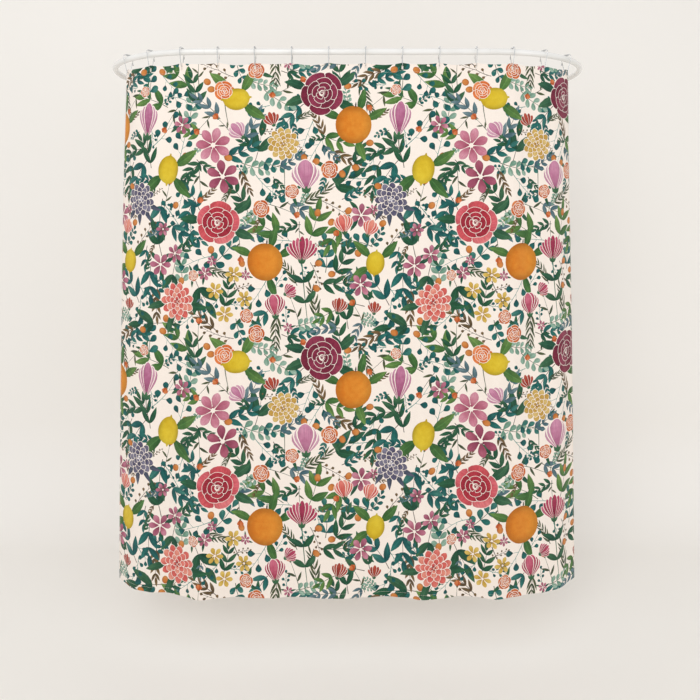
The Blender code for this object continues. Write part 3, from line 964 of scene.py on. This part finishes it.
def cloth_facing(u, v):
    """The printed side's normal there."""
    step = 0.0001
    across = cloth_place(u + step, v) - cloth_place(u - step, v)
    upward = cloth_place(u, v + step) - cloth_place(u, v - step)
    facing = np.cross(across, upward)
    return facing / np.linalg.norm(facing, axis=-1)[..., None]


def flat_at(along):
    return along / take_up + CLOTH_WIDTH / 2


slot_top = rod_line_z + hook_foot + WIRE_RADIUS + SLOT_GAP - cloth_foot
slot_low = slot_top - SLOT_LENGTH
hook_flats = [flat_at(along) for along in hook_lines]
fold_flats = [(left + right) / 2 for left, right in zip(hook_flats, hook_flats[1:])]


def slot_outline(middle, grow=0.0, steps=6):
    """A buttonhole's outline round its hook line, counter-clockwise."""
    radius = SLOT_HALF + grow
    outline = []
    for centre, start in ((slot_top - SLOT_HALF, 0.0), (slot_low + SLOT_HALF, math.pi)):
        for step in range(steps + 1):
            angle = start + math.pi * step / steps
            outline.append((middle + radius * math.cos(angle), centre + radius * math.sin(angle)))
    return outline


def behind_slot(outline):
    """The same buttonhole in the turned-back layer of the top hem."""
    return [(u, 2 * CLOTH_HEIGHT + TURN_LENGTH - v) for u, v in reversed(outline)]


def both_sides(lift):
    """How far stitches stand off the front, on the front and behind the doubled cloth."""
    return lift, -lift - 2 * TURN_RADIUS


def threads(u, v, way, lift, length, radius):
    """Straight stitches lying on the cloth along a flat way, as points and triangles."""
    middle, facing = cloth_place(u, v), cloth_facing(u, v)
    ahead = cloth_place(u + way[0] * 0.0005, v + way[1] * 0.0005) - middle
    ahead /= np.linalg.norm(ahead, axis=1)[:, None]
    side = np.cross(facing, ahead)
    middle = middle + facing * lift
    rows = [middle - ahead * length / 2]
    for end in (-0.36, 0.36):
        for across, up in ((1, 0), (0, 1), (-1, 0), (0, -1)):
            rows.append(middle + ahead * length * end + (side * across + facing * up) * radius)
    rows.append(middle + ahead * length / 2)
    points = np.stack(rows, axis=1).reshape(-1, 3)
    corners = []
    for this, after in ((1, 2), (2, 3), (3, 4), (4, 1)):
        corners += [(0, after, this), (9, this + 4, after + 4), (this, after, after + 4),
                    (this, after + 4, this + 4)]
    faces = np.array(corners)[None] + len(rows) * np.arange(len(u))[:, None, None]
    return points, faces.reshape(-1, 3)


def hem_threads(low, high):
    """The stitch lines of the hems between two flat distances, on both sides of the cloth."""
    marks = np.arange(STITCH_PITCH / 2, CLOTH_WIDTH, STITCH_PITCH)
    marks = marks[(marks >= low) & (marks < high)]
    rises = np.arange(STITCH_PITCH / 2, CLOTH_HEIGHT, STITCH_PITCH)
    lines = [(marks, np.full(len(marks), level), (1.0, 0.0))
             for level in (BOTTOM_HEM - STITCH_INSET, CLOTH_HEIGHT - TOP_HEM + STITCH_INSET)]
    inset = SIDE_HEM - SIDE_STITCH_INSET
    lines += [(np.full(len(rises), level), rises, (0.0, 1.0))
              for level in (inset, CLOTH_WIDTH - inset) if low <= level < high]
    return [threads(*line, lift, STITCH_LENGTH, STITCH_RADIUS)
            for line in lines for lift in both_sides(STITCH_LIFT)]


# Rows lie close together round the turned edges and where the top edge sags between hooks.
turn_steps = [-TURN_LENGTH * quarter / 4 for quarter in range(5)]
top_turn_steps = [CLOTH_HEIGHT - step for step in turn_steps]
row_marks = sorted({
    round(level, 6) for level in (
        -BOTTOM_HEM, -BOTTOM_HEM / 2, *turn_steps, 0.006,
        *np.arange(ROW_STEP, CLOTH_HEIGHT - SWAG_DROP - 0.01, ROW_STEP),
        *np.arange(CLOTH_HEIGHT - SWAG_DROP, CLOTH_HEIGHT - 0.004, SWAG_ROW_STEP),
        CLOTH_HEIGHT - 0.003, *top_turn_steps, CLOTH_HEIGHT + TOP_HEM / 2, CLOTH_HEIGHT + TOP_HEM,
    )
})
crease_rows = {round(level, 6) for level in turn_steps + top_turn_steps}
# Bare cloth, told like a stroke: its frame, its ink and its tip.
GROUND = ((0.0, 0.0, 1.0, 0.0, 1.0, 1.0, 0.0, PLAIN), tint(CREAM), tint("EDDFD3"))


def strokes_over(low, high):
    """Every stroke of the repeats that touches the strip, from the bottom of the paint up."""
    found = []
    for _, _, outline, ink, tip, frame_of in strokes:
        left, bottom = outline.min(axis=0)
        right, top = outline.max(axis=0)
        first = math.ceil((low - right) / REPEAT_WIDTH)
        for column in range(first, math.floor((high - left) / REPEAT_WIDTH) + 1):
            for row in range(-2, 2):
                rise = CLOTH_HEIGHT + row * REPEAT_HEIGHT
                if top + rise < -BOTTOM_HEM or bottom + rise > CLOTH_HEIGHT + TOP_HEM:
                    continue
                shift = (column * REPEAT_WIDTH, rise)
                moved = (frame_of[0] + shift[0], frame_of[1] + shift[1], *frame_of[2:])
                found.append((outline + shift, moved, ink, tip))
    return found


def covered(outline, spots):
    """Which spots lie inside a closed outline."""
    x, y = spots[:, 0], spots[:, 1]
    inside = np.zeros(len(spots), bool)
    for (x0, y0), (x1, y1) in zip(outline, np.roll(outline, 1, axis=0)):
        if y0 != y1:
            inside ^= ((y0 > y) != (y1 > y)) & (x < (x1 - x0) * (y - y0) / (y1 - y0) + x0)
    return inside


def cut_lines(low, high):
    """A strip's rows and columns as points, its creases as edges and its border as a face."""
    creases = [u for step in turn_steps for u in (step, CLOTH_WIDTH - step) if low < u < high]
    count = max(2, math.ceil((high - low) / COLUMN_STEP))
    columns = sorted(set(np.linspace(low, high, count + 1).tolist() + creases))
    points = [(u, v) for u in columns for v in row_marks]
    grid = np.arange(len(points)).reshape(len(columns), -1)
    border = np.concatenate([grid[:-1, 0], grid[-1, :-1], grid[:0:-1, -1], grid[0, :0:-1]])
    runs = [grid[:, row] for row, v in enumerate(row_marks) if v in crease_rows]
    runs += [grid[column] for column, u in enumerate(columns) if u in creases]
    edges = [edge for run in runs for edge in zip(run[:-1].tolist(), run[1:].tolist())]
    return points, edges, [border.tolist()]


def top_strokes(painted, spots):
    """The number of the last stroke over each spot, counted from 1, or 0 for bare cloth."""
    tops = np.zeros(len(spots), int)
    x, y = spots.T.copy()
    for index, (outline, *_) in enumerate(painted, start=1):
        (left, bottom), (right, top) = outline.min(axis=0), outline.max(axis=0)
        near_by = np.flatnonzero((x > left) & (x < right) & (y > bottom) & (y < top))
        tops[near_by[covered(outline, spots[near_by])]] = index
    return tops


def brush_marks(corners, frames):
    """Each corner's share along and across its stroke, and the stroke's kind."""
    away = corners - frames[..., :2]
    along = (away[..., 0] * frames[..., 2] + away[..., 1] * frames[..., 3]) / frames[..., 4]
    across = away[..., 1] * frames[..., 2] - away[..., 0] * frames[..., 3]
    across = (across - frames[..., 6] * frames[..., 4] * along**2) / frames[..., 5]
    return np.stack([along, across, np.broadcast_to(frames[..., 7], along.shape)], axis=-1)


def cloth_strip(name, low, high, hole):
    """A strip of the printed cloth between two flat distances, cut along every painted outline."""
    points, edges, faces = cut_lines(low, high)
    painted = strokes_over(low, high)
    holes = [hole, behind_slot(hole)]
    for outline in holes + [stroke[0].tolist() for stroke in painted]:
        faces.append(list(range(len(points), len(points) + len(outline))))
        points.extend(outline)
    found = delaunay_2d_cdt([Vector(point) for point in points], edges, faces, 0, CUT_MERGE, False)
    flat, kept = np.array([tuple(point) for point in found[0]]), np.array(found[2])
    spots = flat[kept].mean(axis=1)
    inner = ((spots > (low, row_marks[0])) & (spots < (high, row_marks[-1]))).all(axis=1)
    for outline in holes:
        inner &= ~covered(np.array(outline), spots)
    tops = top_strokes(painted, spots[inner])
    used, index = np.unique(kept[inner], return_inverse=True)
    flat, kept = flat[used], index.reshape(-1, 3)
    columns = zip(GROUND, *[stroke[1:] for stroke in painted])
    frames, first_inks, last_inks = (np.array(column)[tops] for column in columns)
    marks = brush_marks(flat[kept], frames[:, None, :])
    marks[tops == 0] = 0.0

    shapes = [(cloth_place(*flat.T), kept, cloth_facing(*flat.T))]
    shapes += [(places, faces, np.zeros_like(places)) for places, faces in hem_threads(low, high)]
    starts = np.cumsum([0] + [len(shape[0]) for shape in shapes])
    places, facings = (np.concatenate([shape[part] for shape in shapes]) for part in (0, 2))
    triangles = np.concatenate([shape[1] + start for shape, start in zip(shapes, starts)])
    mesh = smooth_mesh(name, places.tolist(), triangles.tolist())
    mesh.normals_split_custom_set_from_vertices(facings.tolist())
    sewn = np.arange(len(triangles)) >= len(kept)
    mesh.polygons.foreach_set("material_index", sewn.astype(np.int32))
    for label, kind, field, values in (
        ("ink", "FLOAT_COLOR", "color", np.repeat(first_inks, 3, axis=0)),
        ("ink_tip", "FLOAT_COLOR", "color", np.repeat(last_inks, 3, axis=0)),
        ("brush", "FLOAT_VECTOR", "vector", marks.reshape(-1, 3)),
    ):
        filled = np.zeros((3 * len(triangles), values.shape[1]), np.float32)
        filled[:len(values)] = values
        mesh.attributes.new(label, kind, "CORNER").data.foreach_set(field, filled.ravel())
    weave = np.zeros((len(places), 3), np.float32)
    weave[:len(flat), :2] = flat
    mesh.attributes.new("weave", "FLOAT_VECTOR", "POINT").data.foreach_set("vector", weave.ravel())
    return mesh


def sums(tree):
    """Short names for a node tree's plus, minus and times."""
    return [partial(calc, tree, operation) for operation in ("ADD", "SUBTRACT", "MULTIPLY")]


def stretched(tree, place, factors):
    node = tree.nodes.new("ShaderNodeVectorMath")
    node.operation = "MULTIPLY"
    link_in(tree, place, node.inputs[0])
    node.inputs[1].default_value = factors
    return node.outputs["Vector"]


def split(tree, vector):
    node = tree.nodes.new("ShaderNodeSeparateXYZ")
    link_in(tree, vector, node.inputs[0])
    return node.outputs


def toned(tree, colour, factor):
    """A colour made lighter or darker by a factor round 1."""
    node = tree.nodes.new("ShaderNodeVectorMath")
    node.operation = "SCALE"
    link_in(tree, colour, node.inputs[0])
    link_in(tree, factor, node.inputs["Scale"])
    return node.outputs["Vector"]


def near(tree, value, target):
    """1 where value is within a half of target."""
    away = calc(tree, "ABSOLUTE", calc(tree, "SUBTRACT", value, target))
    return calc(tree, "LESS_THAN", away, 0.5)


def swing(tree, value, amount):
    """1 plus amount times how far value is from a half."""
    return calc(tree, "ADD", calc(tree, "MULTIPLY", calc(tree, "SUBTRACT", value, 0.5), 2 * amount), 1.0)


def watercolour_group():
    """Paint laid by one stroke: washes, pooled edges, leaf veins, petal streaks and peel pores."""
    group, ports, results = port_group(
        "watercolour", {"Flat": "Vector", "Stroke": "Vector", "Ink": "Color", "Tip": "Color"},
        {"Colour": "Color"},
    )
    plus, minus, times = sums(group)
    flat, stroke = ports["Flat"], ports["Stroke"]
    along, across, kind = split(group, stroke)[:3]
    width = calc(group, "ABSOLUTE", across)
    wash = mottle(group, flat, 55.0, 3.0)
    toward_tip = plus(times(along, 0.9), times(minus(wash, 0.5), 1.3), clamp=True)
    colour = blend_colours(group, toward_tip, ports["Ink"], ports["Tip"])

    rib = minus(1.0, ramp(group, width, 0.03, 0.13))
    slant = calc(group, "FRACT", minus(times(along, 7.0), times(width, 2.2)))
    vein = minus(1.0, ramp(group, calc(group, "ABSOLUTE", minus(slant, 0.5)), 0.02, 0.12))
    veins = calc(group, "MAXIMUM", rib, times(vein, 0.45))
    half_shade = times(ramp(group, across, -0.15, 0.15), 0.13)
    leaf_tone = minus(plus(times(veins, 0.38), 1.03), half_shade)

    streaks = mottle(group, stretched(group, stroke, (0.9, 5.0, 0.0)), 2.0)
    paler_tip = plus(times(ramp(group, along, 0.0, 0.55), 0.22), 0.84)
    petal_tone = times(swing(group, streaks, 0.42), paler_tip)

    centred = minus(times(along, 2.0), 1.0)
    round_off = calc(group, "SQRT", plus(times(centred, centred), times(across, across)))
    pores = add_node(group, "TexVoronoi", Vector=flat, Scale=330.0)
    pit = ramp(group, pores.outputs["Distance"], 0.05, 0.45)
    peel_tone = minus(plus(times(pit, 0.12), 0.98), times(ramp(group, round_off, 0.45, 1.05), 0.30))

    painted = calc(group, "LESS_THAN", 0.5, kind)
    tone = times(swing(group, mottle(group, flat, 380.0), 0.10), minus(1.0, times(painted, 0.24)))
    tone = times(tone, minus(1.0, times(ramp(group, width, 0.62, 1.0), times(painted, 0.16))))
    for number, factor in ((LEAF, leaf_tone), (PETAL, petal_tone), (PEEL, peel_tone)):
        tone = times(tone, plus(times(near(group, kind, number), minus(factor, 1.0)), 1.0))
    link_in(group, toned(group, colour, tone), results["Colour"])
    return group


def weave_group():
    """Plain weave of fine yarn, with uneven yarns, as a normal and a mask of the raised yarn."""
    group, ports, results = port_group(
        "plain_weave", {"Flat": "Vector", "Yarns": "Float", "Depth": "Float"},
        {"Normal": "Vector", "Raised": "Float"},
    )
    plus, _, times = sums(group)
    turn = times(ports["Yarns"], math.pi)
    warp, weft = (calc(group, "SINE", times(way, turn)) for way in split(group, ports["Flat"])[:2])
    raised = plus(times(times(warp, weft), 0.5), 0.5)
    uneven = mottle(group, stretched(group, ports["Flat"], (1.0, 0.06, 1.0)), 900.0, 1.0)
    height = plus(raised, times(uneven, 0.4))
    bump = add_node(group, "Bump", Distance=0.00012, Strength=ports["Depth"], Height=height)
    link_in(group, bump.outputs["Normal"], results["Normal"])
    link_in(group, raised, results["Raised"])
    return group


def attribute(tree, name, output):
    node = add_node(tree, "Attribute")
    node.attribute_name = name
    return node.outputs[output]


printed, tree, shader = new_material("printed_polyester", tint(CREAM), roughness=0.82)
shader.inputs["Sheen Weight"].default_value = 0.12
shader.inputs["Sheen Roughness"].default_value = 0.5
shader.inputs["Specular IOR Level"].default_value = 0.25
flat_place = attribute(tree, "weave", "Vector")
paint = placed(
    tree, watercolour_group(), Flat=flat_place, Stroke=attribute(tree, "brush", "Vector"),
    Ink=attribute(tree, "ink", "Color"), Tip=attribute(tree, "ink_tip", "Color"),
)["Colour"]
yarn = placed(tree, weave_group(), Flat=flat_place, Yarns=2400.0, Depth=0.35)
show_through = blend_colours(tree, 0.74, paint, tint("F3E8DE"))
behind_side = add_node(tree, "NewGeometry").outputs["Backfacing"]
seen = blend_colours(tree, behind_side, paint, show_through)
# Painted shade and highlight from the weave: the base colour is lighter on the raised yarn and darker in the
# dips between yarns.
weave_painted_shade = calc(tree, "ADD", calc(tree, "MULTIPLY", yarn["Raised"], 0.06), 0.97)
link_in(tree, toned(tree, seen, weave_painted_shade), shader.inputs["Base Color"])
link_in(tree, yarn["Normal"], shader.inputs["Normal"])

thread, tree, shader = new_material("sewing_thread", tint("F4E8DB"), roughness=0.6)
shader.inputs["Sheen Weight"].default_value = 0.2
twist = mottle(tree, add_node(tree, "NewGeometry").outputs["Position"], 1500.0)
link_in(tree, blend_colours(tree, twist, tint("EFE1D2"), tint("F8EEE3")), shader.inputs["Base Color"])


def line_between(low, high):
    """Two points marking the span between a strip's two edge lines, clear of every point on them."""
    rows = np.array(row_marks)
    first, last = (cloth_place(np.full(len(rows), u), rows) for u in (low, high))
    middle = (first.mean(axis=0) + last.mean(axis=0)) / 2
    ahead = (last.mean(axis=0) - first.mean(axis=0)) * (1.0, 1.0, 0.0)
    ahead /= np.linalg.norm(ahead)
    start = middle + ahead * (((first - middle) @ ahead).max() + BLEND_CLEARANCE)
    end = middle + ahead * (((last - middle) @ ahead).min() - BLEND_CLEARANCE)
    return start.tolist(), end.tolist()


def hung_strip(name, low, high, hook, node, slot, *bodies):
    """A strip hung from one hook: it rides its body when it has one, and is left fixed in place when it spans
    two.
    """
    strip = add_piece(name, cloth_strip(name, low, high, slot_outline(hook_flats[hook - 1])), printed, thread)
    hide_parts(node)
    if len(bodies) == 2:
        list(line_between(low, high))
        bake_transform(strip)
    else:
        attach(strip, *bodies)


for number in range(1, HOOK_COUNT):
    left, middle, right = hook_flats[number - 1], fold_flats[number - 1], hook_flats[number]
    hook, next_hook, fold = f"hook_{number:02d}", f"hook_{number + 1:02d}", f"fold_{number:02d}"
    name, node = f"curtain_cloth_{number:02d}", f"curtain_{fold}"
    hung_strip(name + "a", left, middle, number, node, "curtain_cloth", hook, fold)
    hung_strip(name + "b", middle, right, number + 1, node, "curtain_cloth", fold, next_hook)
for side, low, high, hook in (
    ("left", -SIDE_HEM, hook_flats[0], 1),
    ("right", hook_flats[-1], CLOTH_WIDTH + SIDE_HEM, HOOK_COUNT),
):
    name, node = f"curtain_margin_{side}", f"side_hem_{side}"
    hung_strip(name, low, high, hook, node, "hem_cloth", f"hook_{hook:02d}")


# --- Buttonholes --------------------------------------------------------------------------
# An upright slot in the top hem at each hook, its edge bound all round with close satin
# stitches of the same cream polyester thread as the hems.
BINDING_OUT = 0.0009
BINDING_STEP = 0.000716
BINDING_LENGTH = 0.0021
BINDING_RADIUS = 0.00036
BINDING_LIFT = 0.00015

for number, middle in enumerate(hook_flats, start=1):
    name = f"buttonhole_{number:02d}"
    ring = slot_outline(middle, BINDING_OUT, 9)
    spots = spaced(ring + ring[:1], BINDING_STEP)
    core = np.clip(spots[:, 1], slot_low + SLOT_HALF, slot_top - SLOT_HALF)
    aim = spots - np.stack([np.full(len(core), middle), core], axis=1)
    aim /= np.linalg.norm(aim, axis=1)[:, None]
    bars = [threads(*spots.T, aim.T, lift, BINDING_LENGTH, BINDING_RADIUS)
            for lift in both_sides(BINDING_LIFT)]
    binding = add_piece(name, smooth_mesh(name, *joined(bars)), thread)
    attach(binding, f"hook_{number:02d}")

low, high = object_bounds()
